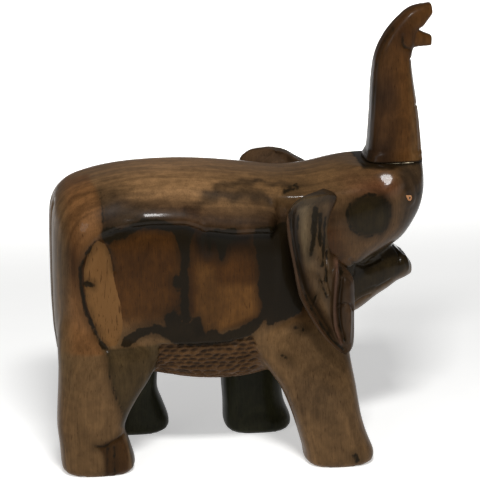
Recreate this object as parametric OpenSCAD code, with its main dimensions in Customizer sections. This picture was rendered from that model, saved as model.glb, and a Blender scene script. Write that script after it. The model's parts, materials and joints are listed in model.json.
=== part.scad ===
// Carved elephant figurine with a raised trunk.
// The body, legs, head, ears and tail are one block of wood. The trunk is a second block, glued and
// dowelled onto a flat seat sawn in the top of the head. Each eye is a teardrop inlay held by a dark peg.
// Axes: +X is forward, +Y is the animal's left, +Z is up. The origin is on the ground, under the
// middle of the overall box. All sizes are in millimetres.

/* [Body block] */
// Overall length, from the rump to the tip of the trunk
overall_length = 338; // [271:1:406]
// Width of the barrel at its widest
barrel_width = 138; // [112:2:166]
// Height of the joint where the trunk stands on the head
seat_height = 262; // [214:2:316]

/* [Legs] */
// Length of each foot, toe to heel
foot_length = 64; // [52:1:78]
// Width of each foot
foot_width = 55; // [44:1:66]
// Radius of the rounded edge round each sole
sole_round = 5; // [3:0.5:7]

/* [Ears] */
// Distance across the rims of the two ears
ear_span = 174; // [164:1:210]
// Thickness of the rim of each ear
ear_thickness = 5; // [4:0.25:7]
// Depth of the hollow scooped in the outside of each ear
ear_scoop = 16; // [12:1:20]

/* [Trunk] */
// Height of the trunk above its joint
trunk_rise = 138; // [112:2:168]
// Length of the trunk's base, fore and aft
trunk_base_length = 52; // [43:1:63]
// Width of the trunk's base
trunk_base_width = 46; // [38:1:56]
// Thickness of the glue in the joint
glue_thickness = 0.4; // [0.2:0.1:0.8]
// How far the glue stands back from the edge of the joint
glue_setback = 0.6; // [0.3:0.1:1.5]

/* [Dowel] */
// Diameter of the dowel inside the joint
dowel_diameter = 10; // [8:0.5:14]
// Length of the dowel
dowel_length = 60; // [48:2:72]
// Chamfer on each end of the dowel
dowel_chamfer = 1; // [0.5:0.25:2]
// Radial clearance between the dowel and its bores
dowel_clearance = 0.1; // [0.05:0.05:0.3]
// Space left past each end of the dowel
dowel_end_gap = 2; // [1:0.5:4]

/* [Eyes] */
// Diameter of the round end of each eye inlay
eye_diameter = 5; // [4:0.25:6]
// Distance from the centre of the round end to the point of the teardrop
eye_point = 4.8; // [3.8:0.2:5.8]
// Thickness of the inlay
eye_thickness = 2.5; // [2:0.25:3.5]
// How far the inlay stands out of the wood
eye_proud = 0.7; // [0.4:0.1:1]
// Diameter of the dark peg
peg_diameter = 2; // [1.6:0.2:2.4]
// Length of the dark peg
peg_length = 9; // [7:0.5:12]
// Clearance round the inlay and the peg in their holes
eye_clearance = 0.05; // [0.03:0.01:0.15]

/* [Hidden] */

// The outlines below are drawn on a pattern with this length, barrel width and joint height, and are
// stretched from it to the sizes above.
PATTERN = [338, 138, 262];
kx = overall_length / PATTERN[0];
ky = barrel_width / PATTERN[1];
kz = seat_height / PATTERN[2];

// How finely the carved surfaces are drawn
BARREL_SIDES = 32;
LIMB_SIDES = 24;
BORE_SIDES = 64;
PAST = 1; // how far a cut runs past the face that it opens

// ---- Curves and skins ----------------------------------------------------------------------------

// Catmull-Rom value between b and c, with a and d as their neighbours; all may be vectors.
function between(a, b, c, d, t) =
  0.5 * (2 * b + (c - a) * t + (2 * a - 5 * b + 4 * c - d) * t * t + (3 * b - a - 3 * c + d) * t * t * t);

// The same row of stations with smooth ones added, so that each gap is cut into `steps`.
function smoothed(rows, steps) =
  let (last = len(rows) - 1)
  [for (i = [0:last - 1]) for (j = [0:steps - 1])
     between(rows[max(i - 1, 0)], rows[i], rows[i + 1], rows[min(i + 2, last)], j / steps),
   rows[last]];

// The station at the value v of its first entry, by linear interpolation.
function station_at(rows, v, i = 0) =
  i >= len(rows) - 2 || rows[i + 1][0] >= v
    ? let (t = (v - rows[i][0]) / (rows[i + 1][0] - rows[i][0])) rows[i] * (1 - t) + rows[i + 1] * t
    : station_at(rows, v, i + 1);

function signed_power(v, p) = sign(v) * pow(abs(v), p);

// A point of a superellipse of unit half sizes: a squareness of 2 is a circle, and more is boxier.
function rounded(angle, squareness) =
  [signed_power(cos(angle), 2 / squareness), signed_power(sin(angle), 2 / squareness)];

// A level outline with the given half sizes, anticlockwise seen from above.
function level_ring(centre, half, z, squareness) =
  [for (i = [0:LIMB_SIDES - 1])
     let (p = rounded(360 * i / LIMB_SIDES, squareness))
     [centre[0] + half[0] * p[0], centre[1] + half[1] * p[1], z]];

// The triangles of a closed skin over m rings of n points each.
function skin_faces(m, n) = concat(
  [[for (i = [0:n - 1]) i]],
  [for (j = [0:m - 2]) for (i = [0:n - 1]) let (h = (i + 1) % n) [j * n + i, (j + 1) * n + i, (j + 1) * n + h]],
  [for (j = [0:m - 2]) for (i = [0:n - 1]) let (h = (i + 1) % n) [j * n + i, (j + 1) * n + h, j * n + h]],
  [[for (i = [n - 1:-1:0]) (m - 1) * n + i]]
);

// A closed solid over rings that run anticlockwise seen against the way they are stacked.
module skin(rings) {
  polyhedron(points = [for (ring = rings) each ring], faces = skin_faces(len(rings), len(rings[0])), convexity = 8);
}

// ---- Barrel and head -----------------------------------------------------------------------------

// Sections across the block, tail to brow: x, half width, top, height of the widest place, bottom, squareness
BARREL = [
  [-168.5, 8, 212, 186, 150, 2.4],
  [-167.5, 28, 228, 186, 124, 2.5],
  [-165, 42, 237, 186, 106, 2.6],
  [-158, 56, 246, 186, 97, 2.7],
  [-144, 65, 254, 186, 92, 2.8],
  [-115, 68, 261, 184, 86, 2.9],
  [-80, 69, 264, 184, 78, 2.9],
  [-40, 69, 264, 182, 70, 2.8],
  [0, 68, 260, 180, 70, 2.8],
  [35, 65, 256, 180, 80, 2.7],
  [60, 60, 258, 190, 98, 2.6],
  [80, 57, 262, 208, 126, 2.6],
  [102, 55, 265, 216, 166, 2.6],
  [122, 50, 265, 222, 180, 2.5],
  [140, 42, 264, 228, 190, 2.4],
  [151, 34, 263, 234, 203, 2.3],
  [158, 27, 262, 238, 216, 2.3],
  [162, 17, 260, 242, 229, 2.2],
];
BARREL_STEPS = 3;

barrel_rows = [for (s = smoothed(BARREL, BARREL_STEPS))
  [s[0] * kx, s[1] * ky, s[2] * kz, s[3] * kz, s[4] * kz, s[5]]];

function barrel_ring(s) =
  [for (i = [0:BARREL_SIDES - 1])
     let (p = rounded(360 * i / BARREL_SIDES, s[5]))
     [s[0], s[1] * p[0], s[3] + p[1] * (p[1] > 0 ? s[2] - s[3] : s[3] - s[4])]];

// Half width of the block at a place on its side.
function side_at(x, z) =
  let (
    s = station_at(barrel_rows, x),
    rise = z > s[3] ? (z - s[3]) / (s[2] - s[3]) : (s[3] - z) / (s[3] - s[4])
  )
  s[1] * pow(max(1 - pow(min(rise, 1), s[5]), 0), 1 / s[5]);

module barrel() {
  skin([for (s = barrel_rows) barrel_ring(s)]);
}

// ---- Lower jaw -----------------------------------------------------------------------------------

// Sections across the jaw, throat to lip: x, half width, top, bottom
JAW = [
  [66, 26, 176, 100],
  [86, 32, 184, 114],
  [106, 33, 188, 125],
  [120, 31, 190, 136],
  [132, 27, 188, 143],
  [140, 23, 183, 149],
  [149, 16, 173, 153],
  [154, 8, 166, 158],
];
JAW_SQUARENESS = 2.3;

module jaw() {
  skin([for (s = smoothed(JAW, 2))
    [for (i = [0:LIMB_SIDES - 1])
       let (p = rounded(360 * i / LIMB_SIDES, JAW_SQUARENESS))
       [s[0] * kx, s[1] * ky * p[0], ((s[2] + s[3]) / 2 + p[1] * (s[2] - s[3]) / 2) * kz]]]);
}

// ---- Legs ----------------------------------------------------------------------------------------

// Where the middle of each foot stands
RIGHT_HIND_FOOT = [-133, -44];
LEFT_HIND_FOOT = [-88, 51];
RIGHT_FORE_FOOT = [82, -52];
LEFT_FORE_FOOT = [21, 40];

// Sections up each leg: height, how far its middle lies past the foot's in x and in y, and its length
// and width as shares of the foot's
RIGHT_HIND = [
  [10, 0, 0, 1.02, 1],
  [26, -3, 0, 0.96, 0.98],
  [42, -6, 0, 0.92, 0.96],
  [68, 1, 1, 1.1, 1],
  [95, 10, 3, 1.34, 1.02],
  [130, 12, 8, 1.4, 0.98],
  [170, 16, 12, 1.24, 0.9],
  [205, 24, 16, 0.8, 0.7],
];
LEFT_HIND = [
  [10, -3, 0, 0.97, 1],
  [26, -6, 0, 0.88, 0.98],
  [42, -10, -1, 0.84, 0.98],
  [68, -14, -5, 1.02, 1],
  [95, -18, -9, 1.3, 1.02],
  [130, -22, -14, 1.4, 0.98],
  [170, -24, -18, 1.2, 0.9],
  [205, -20, -22, 0.8, 0.7],
];
RIGHT_FORE = [
  [10, -1, 0, 0.98, 1],
  [24, -6, 1, 0.95, 1],
  [44, -12, 2, 0.95, 1.02],
  [72, -20, 5, 1.06, 1.04],
  [98, -31, 10, 1.26, 1.06],
  [130, -36, 16, 1.34, 1],
  [165, -38, 20, 1.12, 0.9],
  [195, -36, 24, 0.8, 0.7],
];
LEFT_FORE = [
  [10, 0, 0, 0.98, 1],
  [24, -3, 2, 0.88, 0.98],
  [44, -5, 3, 0.86, 0.98],
  [72, -3, 5, 0.94, 1.06],
  [98, 2, 7, 1.1, 1.14],
  [130, 6, 7, 1.2, 1.14],
  [165, 8, 2, 1.1, 0.96],
  [195, 8, -4, 0.8, 0.7],
];
LEG_SQUARENESS = 3;
SOLE_ANGLES = [0:30:90];

module leg(foot, rows) {
  half = [foot_length, foot_width] / 2;
  first = rows[0];
  function middle(s) = [(foot[0] + s[1]) * kx, (foot[1] + s[2]) * ky];
  function half_at(s) = [half[0] * s[3], half[1] * s[4]];
  skin(concat(
    [for (a = SOLE_ANGLES)
       level_ring(middle(first), half_at(first) - [1, 1] * sole_round * (1 - sin(a)),
                  sole_round * (1 - cos(a)), LEG_SQUARENESS)],
    [for (s = smoothed(rows, 2)) level_ring(middle(s), half_at(s), s[0] * kz, LEG_SQUARENESS)]
  ));
}

// ---- Ears ----------------------------------------------------------------------------------------

// Rows up the right ear: height, x of the rear rim, x of the front edge, how far inside the ear's span
// the front edge lies, and how much thicker the ear is there than at its rim. It hangs free at the
// bottom and is rooted in the head at the top.
EAR = [
  [109, 80, 86, 13, 0],
  [114, 73, 89, 13, 1],
  [124, 63, 90, 12, 2],
  [138, 53, 90, 12, 4],
  [160, 41, 90, 12, 12],
  [178, 36, 90, 17, 22],
  [196, 31, 88, 27, 30],
  [214, 26, 86, 36, 32],
  [230, 22, 85, 38, 32],
  [243, 21, 80, 38, 32],
  [250, 27, 72, 38, 30],
  [254, 36, 62, 38, 28],
];
EAR_COLUMNS = 10;
SCOOP_SHIFT = 0.8;   // below 1, the scoop is deepest nearer the front edge
SCOOP_SHARPNESS = 1.4;
LEFT_EAR_SETBACK = 8; // the left ear was carved a little further back than the right one

// A point of the ear, at the share u of the way from its front edge to its rim. depth is 0 on the
// outer face and 1 on the inner one.
function ear_point(s, u, depth, side) =
  let (
    scoop = ear_scoop * pow(sin(180 * pow(u, SCOOP_SHIFT)), SCOOP_SHARPNESS),
    inside = max(s[3] * (1 - u), scoop),
    wood = ear_thickness + s[4] * (1 - u)
  )
  [(s[2] + (s[1] - s[2]) * u) * kx - (side > 0 ? LEFT_EAR_SETBACK : 0),
   side * (ear_span / 2 - inside - depth * wood), s[0] * kz];

// One level slice of the ear as a closed ring, out along the outer face and back along the inner one.
function ear_ring(s, side) =
  let (
    outer = [for (i = [0:EAR_COLUMNS]) ear_point(s, i / EAR_COLUMNS, 0, side)],
    inner = [for (i = [EAR_COLUMNS:-1:0]) ear_point(s, i / EAR_COLUMNS, 1, side)],
    ring = concat(outer, inner)
  )
  side > 0 ? ring : [for (i = [len(ring) - 1:-1:0]) ring[i]];

module ear(side) {
  skin([for (s = smoothed(EAR, 2)) ear_ring(s, side)]);
}

// ---- Tail ----------------------------------------------------------------------------------------

// Beads down the tail, which lies in the hollow between the hips: height, x of the middle, radius
TAIL = [
  [238, -160, 4],
  [228, -163, 5],
  [210, -164, 5],
  [185, -164, 5],
  [160, -163.5, 5],
  [140, -163, 5],
  [124, -162.5, 5.5],
  [110, -161, 6.5],
  [100, -159.5, 6.5],
  [91, -157, 4],
];
BEAD_SIDES = 16;

module tail() {
  for (i = [0:len(TAIL) - 2])
    hull()
      for (s = [TAIL[i], TAIL[i + 1]])
        translate([s[1] * kx, 0, s[0] * kz]) sphere(r = s[2], $fn = BEAD_SIDES);
}

// ---- Trunk joint ---------------------------------------------------------------------------------

SEAT_X = 136;       // where the middle of the trunk's base stands on the pattern
SEAT_SQUARENESS = 2.6;
COLLAR_FLARE = 9;   // how much wider the head is below the seat
COLLAR_DEPTH = 16;

seat = [SEAT_X * kx, 0];
base_half = [trunk_base_length, trunk_base_width] / 2;
trunk_bottom = seat_height + glue_thickness;
dowel_middle = seat_height + glue_thickness / 2;

// The wood just under the trunk, flaring down from its outline to the back and the sides.
module collar() {
  function flared(flare, z) = level_ring(seat - [flare, 0], base_half + [flare, flare], z, SEAT_SQUARENESS);
  skin([
    flared(COLLAR_FLARE / 2, seat_height - COLLAR_DEPTH),
    flared(COLLAR_FLARE / 3, seat_height - COLLAR_DEPTH / 3),
    flared(0, seat_height),
  ]);
}

// The round hole for the dowel, through the joint.
module dowel_bore() {
  length = dowel_length + 2 * dowel_end_gap;
  translate([seat[0], 0, dowel_middle - length / 2])
    cylinder(d = dowel_diameter + 2 * dowel_clearance, h = length, $fn = BORE_SIDES);
}

// Everything above the joint's plane, round the trunk's base, that the saw takes off.
module seat_cut() {
  reach = trunk_base_length / 2 + COLLAR_FLARE;
  translate([seat[0] - reach, -barrel_width, seat_height])
    cube([2 * reach + overall_length, 2 * barrel_width, COLLAR_DEPTH]);
}

// ---- Eyes ----------------------------------------------------------------------------------------

EYE = [144, 235];    // x and height on the pattern
EYE_TURN = 55;       // how far the point of the teardrop is turned up from straight forward
PROBE = 1;           // step for measuring the slope of the wood
TIP_RADIUS = 0.6;

eye_at = [EYE[0] * kx, EYE[1] * kz];
eye_side = side_at(eye_at[0], eye_at[1]);
slope_x = (side_at(eye_at[0] + PROBE, eye_at[1]) - side_at(eye_at[0] - PROBE, eye_at[1])) / (2 * PROBE);
slope_z = (side_at(eye_at[0], eye_at[1] + PROBE) - side_at(eye_at[0], eye_at[1] - PROBE)) / (2 * PROBE);

// Puts its children on the side of the head with their +Z out of the wood. side is -1 for the right.
module at_eye(side) {
  out = [-slope_x, 1, -slope_z] / norm([slope_x, 1, slope_z]);
  mirror([0, side > 0 ? 0 : 1, 0])
    translate([eye_at[0], eye_side, eye_at[1]])
      rotate([0, acos(out[2]), atan2(out[1], out[0])])
        rotate([0, 0, 180 - EYE_TURN])
          children();
}

// The teardrop's outline: a round end, and two straight sides that run from it to the point.
module teardrop(grow) {
  r = eye_diameter / 2 + grow;
  tip = TIP_RADIUS + grow;
  spread = acos((r - tip) / (eye_point - TIP_RADIUS));
  away = eye_point - TIP_RADIUS;
  circle(r = r, $fn = BORE_SIDES);
  translate([away, 0]) circle(r = tip, $fn = BORE_SIDES);
  polygon([
    r * [cos(spread), sin(spread)], r * [cos(spread), -sin(spread)],
    [away, 0] + tip * [cos(spread), -sin(spread)], [away, 0] + tip * [cos(spread), sin(spread)],
  ]);
}

module eye_socket(side) {
  at_eye(side) {
    translate([0, 0, eye_proud - eye_thickness - eye_clearance])
      linear_extrude(eye_thickness + PAST) teardrop(eye_clearance);
    translate([0, 0, eye_proud - peg_length - eye_clearance])
      cylinder(d = peg_diameter + 2 * eye_clearance, h = peg_length, $fn = BORE_SIDES);
  }
}

module eye_inlay(side) {
  color("tan")
    at_eye(side)
      translate([0, 0, eye_proud - eye_thickness])
        difference() {
          linear_extrude(eye_thickness) teardrop(0);
          translate([0, 0, -PAST])
            cylinder(d = peg_diameter + 2 * eye_clearance, h = eye_thickness + 2 * PAST, $fn = BORE_SIDES);
        }
}

module eye_peg(side) {
  color("black")
    at_eye(side)
      translate([0, 0, eye_proud - peg_length])
        cylinder(d = peg_diameter, h = peg_length, $fn = BORE_SIDES);
}

// ---- Sub-parts -----------------------------------------------------------------------------------

module carved_body() {
  color("saddlebrown")
    difference() {
      union() {
        barrel();
        collar();
        jaw();
        leg(RIGHT_HIND_FOOT, RIGHT_HIND);
        leg(LEFT_HIND_FOOT, LEFT_HIND);
        leg(RIGHT_FORE_FOOT, RIGHT_FORE);
        leg(LEFT_FORE_FOOT, LEFT_FORE);
        ear(-1);
        ear(1);
        tail();
      }
      seat_cut();
      dowel_bore();
      eye_socket(-1);
      eye_socket(1);
    }
}

// Sections up the trunk, as shares of its rise and base: height, x past the base's middle as a share of
// the rise, tilt of the section, half length and half width as shares of the base's
TRUNK = [
  [0, 0, 0, 1, 1],
  [0.04, 0.005, 0, 0.94, 0.95],
  [0.1, 0.01, 0, 0.92, 0.9],
  [0.3, 0.003, 0, 0.82, 0.8],
  [0.5, -0.01, 2, 0.72, 0.71],
  [0.66, -0.008, 8, 0.62, 0.64],
  [0.78, 0.035, 26, 0.52, 0.58],
  [0.865, 0.1, 44, 0.46, 0.5],
  [0.905, 0.155, 60, 0.46, 0.43],
];
TRUNK_TIP = [82, 0.19, 0.3]; // the last section: tilt, and half length and half width as shares

// The lower finger at the trunk's tip: x before the tip, height, half height and half width
FINGER = [
  [34, 0.75, 9, 9],
  [20, 0.765, 8.5, 8.5],
  [10, 0.783, 6.5, 7.5],
  [1, 0.776, 4.7, 6.5],
];
FINGER_SQUARENESS = 3;
TRUNK_STEPS = 3;

tip_x = overall_length / 2;

function trunk_ring(x, z, tilt, half) =
  [for (i = [0:LIMB_SIDES - 1])
     let (p = rounded(360 * i / LIMB_SIDES, SEAT_SQUARENESS))
     [x + half[0] * p[0] * cos(tilt), half[1] * p[1], z - half[0] * p[0] * sin(tilt)]];

module trunk_blank() {
  rise = trunk_rise;
  tip_half = [base_half[0] * TRUNK_TIP[1], base_half[1] * TRUNK_TIP[2]];
  rows = concat(
    [for (s = TRUNK)
       [s[0], seat[0] + s[1] * rise, s[2], base_half[0] * s[3], base_half[1] * s[4]]],
    [[1 - tip_half[0] * sin(TRUNK_TIP[0]) / rise, tip_x - tip_half[0] * cos(TRUNK_TIP[0]), TRUNK_TIP[0],
      tip_half[0], tip_half[1]]]
  );
  skin([for (s = smoothed(rows, TRUNK_STEPS))
    trunk_ring(s[1], trunk_bottom + s[0] * rise, s[2], [s[3], s[4]])]);
}

module finger() {
  skin([for (s = smoothed(FINGER, 2))
    [for (i = [0:LIMB_SIDES - 1])
       let (p = rounded(360 * i / LIMB_SIDES, FINGER_SQUARENESS))
       [tip_x - s[0], s[3] * p[0], trunk_bottom + s[1] * trunk_rise + s[2] * p[1]]]]);
}

module trunk() {
  color("peru")
    difference() {
      union() {
        trunk_blank();
        finger();
      }
      dowel_bore();
    }
}

module trunk_dowel() {
  r = dowel_diameter / 2;
  color("burlywood")
    translate([seat[0], 0, dowel_middle - dowel_length / 2])
      rotate_extrude($fn = BORE_SIDES)
        polygon([
          [0, 0], [r - dowel_chamfer, 0], [r, dowel_chamfer], [r, dowel_length - dowel_chamfer],
          [r - dowel_chamfer, dowel_length], [0, dowel_length],
        ]);
}

module trunk_glue_line() {
  outline = level_ring(seat, base_half - [1, 1] * glue_setback, 0, SEAT_SQUARENESS);
  color("ivory")
    difference() {
      translate([0, 0, seat_height]) linear_extrude(glue_thickness) polygon([for (p = outline) [p[0], p[1]]]);
      dowel_bore();
    }
}

carved_body();
trunk();
trunk_dowel();
trunk_glue_line();
eye_inlay(-1);  // right_eye_inlay
eye_inlay(1);  // left_eye_inlay
eye_peg(-1);  // right_eye_peg
eye_peg(1);  // left_eye_peg
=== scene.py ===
# %% [markdown]
# # A carved wooden elephant
# The real piece is cut from one log of dark streaked hardwood, with a second block for the raised trunk.
# The trunk stands on a sawn seat on the head, held by glue and a dowel, and each eye is a small inlay.
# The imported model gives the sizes. Here the wood gets its carved surface, its figure and its varnish.

# %% Load the frame
import json
import math

import bmesh
import bpy
import numpy as np
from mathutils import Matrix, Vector

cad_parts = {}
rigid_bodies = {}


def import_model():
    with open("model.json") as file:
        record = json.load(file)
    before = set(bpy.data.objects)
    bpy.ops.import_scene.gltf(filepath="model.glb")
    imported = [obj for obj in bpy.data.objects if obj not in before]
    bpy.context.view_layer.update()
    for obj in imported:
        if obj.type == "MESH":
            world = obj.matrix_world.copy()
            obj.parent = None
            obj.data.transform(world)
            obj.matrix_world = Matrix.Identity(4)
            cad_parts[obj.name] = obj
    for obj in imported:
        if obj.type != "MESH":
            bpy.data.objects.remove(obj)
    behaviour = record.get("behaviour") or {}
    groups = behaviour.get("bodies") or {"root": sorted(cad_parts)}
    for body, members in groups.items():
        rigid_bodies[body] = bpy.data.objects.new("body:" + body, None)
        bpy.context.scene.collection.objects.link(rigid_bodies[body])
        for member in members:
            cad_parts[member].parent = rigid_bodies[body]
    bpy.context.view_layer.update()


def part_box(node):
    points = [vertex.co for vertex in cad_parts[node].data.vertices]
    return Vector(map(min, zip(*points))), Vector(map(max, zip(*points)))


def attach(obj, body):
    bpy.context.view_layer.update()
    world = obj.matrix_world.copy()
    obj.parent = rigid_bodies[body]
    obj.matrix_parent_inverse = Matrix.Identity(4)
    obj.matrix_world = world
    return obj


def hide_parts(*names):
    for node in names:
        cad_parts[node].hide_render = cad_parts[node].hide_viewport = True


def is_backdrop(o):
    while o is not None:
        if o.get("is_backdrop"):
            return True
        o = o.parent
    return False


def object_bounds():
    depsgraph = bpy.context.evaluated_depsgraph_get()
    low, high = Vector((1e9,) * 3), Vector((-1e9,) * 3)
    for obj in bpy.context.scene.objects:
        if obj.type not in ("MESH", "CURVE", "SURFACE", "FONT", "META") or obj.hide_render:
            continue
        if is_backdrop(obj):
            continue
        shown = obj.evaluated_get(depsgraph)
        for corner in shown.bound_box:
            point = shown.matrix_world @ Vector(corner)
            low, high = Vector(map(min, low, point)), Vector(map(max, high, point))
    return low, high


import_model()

MM = 0.001

# %% [markdown]
# ## The camera comes first
# A figurine is looked at from a little above and from its right side, so the camera stands low on that
# side, two metres off, with a long lens that keeps the legs from spreading.

# %% Camera
AIM = Vector((0, 0, 0.191))
AZIMUTH, ELEVATION, DISTANCE = math.radians(-8), math.radians(16.5), 2.0
LENS = 168.9

towards = Vector((
    math.sin(AZIMUTH) * math.cos(ELEVATION), -math.cos(AZIMUTH) * math.cos(ELEVATION), math.sin(ELEVATION)
))
camera = bpy.data.objects.new("camera", bpy.data.cameras.new("camera"))
bpy.context.scene.collection.objects.link(camera)
camera.location = AIM + DISTANCE * towards
camera.rotation_euler = (-towards).to_track_quat("-Z", "Y").to_euler()
camera.data.lens = LENS
bpy.context.scene.camera = camera
bpy.context.scene.view_settings.view_transform = "Standard"   # dark varnish keeps its depth and colour

# %% [markdown]
# ## Helpers for carving
# A carver saws a blank, rounds it, and then cuts in the details. The same order works here. A blank is
# raised ring by ring from a circle with extrude, the blanks are joined and remeshed into one skin of
# even squares, and the details are cut by moving that skin's points with plain formulas in millimetres.


# %% Curves and rings
def smoothed(rows, steps):
    """The rows with smooth ones between them (Catmull-Rom), so that each gap is cut into steps."""
    rows = np.array(rows, float)
    padded = np.vstack([rows[:1], rows, rows[-1:]])
    out = []
    for a, b, c, d in zip(padded, padded[1:], padded[2:], padded[3:]):
        for t in np.arange(steps) / steps:
            out.append(0.5 * (
                2 * b + (c - a) * t + (2 * a - 5 * b + 4 * c - d) * t**2 + (3 * b - a - 3 * c + d) * t**3
            ))
    return np.array(out + [rows[-1]])


def superellipse(angle, squareness):
    """Points of an outline of unit half sizes. A squareness of 2 is a circle, and more is boxier."""
    c, s = np.cos(angle), np.sin(angle)
    power = 2 / squareness
    return np.sign(c) * abs(c) ** power, np.sign(s) * abs(s) ** power


def rounded(sides, squareness):
    """The whole outline, in equal turns."""
    return superellipse(np.arange(sides) * 2 * np.pi / sides, squareness)


def rise(low, high, value):
    """0 below low, 1 above high, and a smooth step between them."""
    t = np.clip((value - low) / (high - low), 0, 1)
    return t * t * (3 - 2 * t)


def fall(low, high, value):
    """1 below low, 0 above high."""
    return 1 - rise(low, high, value)


def near(value, centre, width):
    """1 at the centre, falling away like a bell as far as about the width."""
    return np.exp(-(((value - centre) / width) ** 2))


# %% Mesh helpers
def deselect():
    bpy.ops.object.select_all(action="DESELECT")


def pick(*pieces):
    """Select only these pieces, the first of them active."""
    deselect()
    for piece in pieces:
        piece.select_set(True)
    bpy.context.view_layer.objects.active = pieces[0]


def loft(name, rings):
    """A closed solid raised from a circle: each extrude lifts the cap to the next ring."""
    deselect()
    bpy.ops.mesh.primitive_circle_add(vertices=len(rings[0]), fill_type="NGON")
    piece = bpy.context.object
    piece.name = name
    bpy.ops.object.mode_set(mode="EDIT")
    old = None
    for ring in rings:
        if old is not None:
            bpy.ops.mesh.extrude_region_move()
        mesh = bmesh.from_edit_mesh(piece.data)
        cap = [v for v in mesh.verts if v.select]
        place = {old[tuple(v.co)]: v for v in cap} if old else dict(enumerate(cap))
        for i, v in place.items():
            v.co = Vector(ring[i]) * MM
        old = {tuple(v.co): i for i, v in place.items()}
        bmesh.update_edit_mesh(piece.data)
    bpy.ops.mesh.select_all(action="SELECT")
    bpy.ops.mesh.normals_make_consistent(inside=False)
    bpy.ops.object.mode_set(mode="OBJECT")
    return piece


def finish_with(piece, kind, **settings):
    """Add a modifier, set it and apply it."""
    pick(piece)
    modifier = piece.modifiers.new(kind.lower(), kind)
    for key, value in settings.items():
        setattr(modifier, key, value)
    bpy.ops.object.modifier_apply(modifier=modifier.name)
    return piece


def joined(name, pieces):
    pick(*pieces)
    bpy.ops.object.join()
    bpy.context.object.name = name
    return bpy.context.object


def points_of(piece):
    """The piece's points in millimetres, one row each."""
    co = np.empty(len(piece.data.vertices) * 3)
    piece.data.vertices.foreach_get("co", co)
    return co.reshape(-1, 3) / MM


def put_points(piece, points):
    piece.data.vertices.foreach_set("co", (points * MM).ravel())
    piece.data.update()


PLANE_REACH = 9   # mm above and below the place, so that the other side of the head is left alone


def plane_off(piece, centre, out, face, inner, outer):
    """Bring the surface round a place to a flat that faces out, whole as far as inner and gone at outer.
    It lies at the height of face past the place, or at the wood's mean height there if face is None."""
    p = points_of(piece)
    off = p - centre
    height = off @ out
    beside = np.linalg.norm(off - height[:, None] * out, axis=1)
    around = abs(height) < PLANE_REACH
    if face is None:
        face = height[around & (beside < inner)].mean()
    hold = fall(inner, outer, beside) * around
    put_points(piece, p + ((face - height) * hold)[:, None] * out)


def normals_of(piece):
    out = np.empty(len(piece.data.vertices) * 3)
    piece.data.vertices.foreach_get("normal", out)
    return out.reshape(-1, 3)


def refine(piece, inside, cuts=1):
    """Cut the faces in a region finer, where the next cuts are too small for the squares of the skin."""
    pick(piece)
    bpy.context.tool_settings.mesh_select_mode = (False, False, True)
    bpy.ops.object.mode_set(mode="EDIT")
    bpy.ops.mesh.select_all(action="DESELECT")
    bpy.ops.object.mode_set(mode="OBJECT")
    centres = np.empty(len(piece.data.polygons) * 3)
    piece.data.polygons.foreach_get("center", centres)
    chosen = inside(*(centres.reshape(-1, 3) / MM).T)
    piece.data.polygons.foreach_set("select", chosen)
    bpy.ops.object.mode_set(mode="EDIT")
    bpy.ops.mesh.subdivide(number_cuts=cuts)
    bpy.ops.object.mode_set(mode="OBJECT")
    print(piece.name, "refined", int(chosen.sum()), "faces")


# %% [markdown]
# ## The barrel and the head
# The back, the belly and the head are one flowing volume, so they are one loft of level-topped
# sections, tail to brow. Each section is a superellipse with its own top, bottom and squareness.

# %% Barrel and head blank
BARREL_SIDES = 48
# x, half width, top, height of the widest place, bottom, squareness
BARREL = [
    (-168.5, 8, 212, 186, 150, 2.4),
    (-167.5, 28, 228, 186, 124, 2.5),
    (-165, 42, 237, 186, 106, 2.6),
    (-158, 56, 246, 186, 97, 2.7),
    (-144, 65, 254, 186, 92, 2.8),
    (-115, 68, 261, 184, 86, 2.9),
    (-80, 69, 264, 184, 78, 2.9),
    (-40, 69, 264, 182, 70, 2.8),
    (0, 68, 260, 180, 70, 2.8),
    (35, 65, 256, 180, 80, 2.7),
    (60, 60, 258, 190, 98, 2.6),
    (80, 57, 262, 208, 126, 2.6),
    (102, 55, 265, 216, 166, 2.6),
    (122, 50, 265, 222, 180, 2.5),
    (140, 42, 264, 228, 190, 2.4),
    (151, 34, 263, 234, 203, 2.3),
    (158, 27, 262, 238, 216, 2.3),
    (162, 17, 260, 242, 229, 2.2),
]


def barrel_ring(x, half, top, widest, bottom, squareness):
    across, up = rounded(BARREL_SIDES, squareness)
    z = widest + np.where(up > 0, up * (top - widest), up * (widest - bottom))
    return np.column_stack([np.full(BARREL_SIDES, x), half * across, z])


barrel = loft("barrel", [barrel_ring(*row) for row in smoothed(BARREL, 3)])
print("barrel:", len(barrel.data.vertices), "points")

# %% Lower jaw blank
JAW_SIDES, JAW_SQUARENESS = 28, 2.3
# x, half width, top, bottom
JAW = [
    (66, 26, 176, 100),
    (86, 32, 184, 114),
    (106, 32, 186, 125),
    (120, 30, 187, 136),
    (132, 26, 185, 143),
    (140, 22, 182, 149),
    (147, 18, 179, 151),
    (152.5, 12, 174.5, 154.5),
    (156, 6, 169, 160),
]


def jaw_ring(x, half, top, bottom):
    across, up = rounded(JAW_SIDES, JAW_SQUARENESS)
    z = (top + bottom) / 2 + up * (top - bottom) / 2
    return np.column_stack([np.full(JAW_SIDES, x), half * across, z])


jaw = loft("jaw", [jaw_ring(*row) for row in smoothed(JAW, 2)])
print("jaw:", len(jaw.data.vertices), "points")

# %% [markdown]
# ## The legs
# Each leg is a loft of level sections on its own foot, since a carver also draws a leg from its foot up.
# The right fore leg reaches forward and the left pair stands further in, as in a slow walk. A copied leg
# would be quicker, but no two are alike. The sole's edge is rounded so that it doesn't splinter.

# %% Leg blanks
LEG_SIDES, LEG_SQUARENESS = 32, 3
FOOT = (64, 55)
SOLE_ROUND = 5
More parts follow.
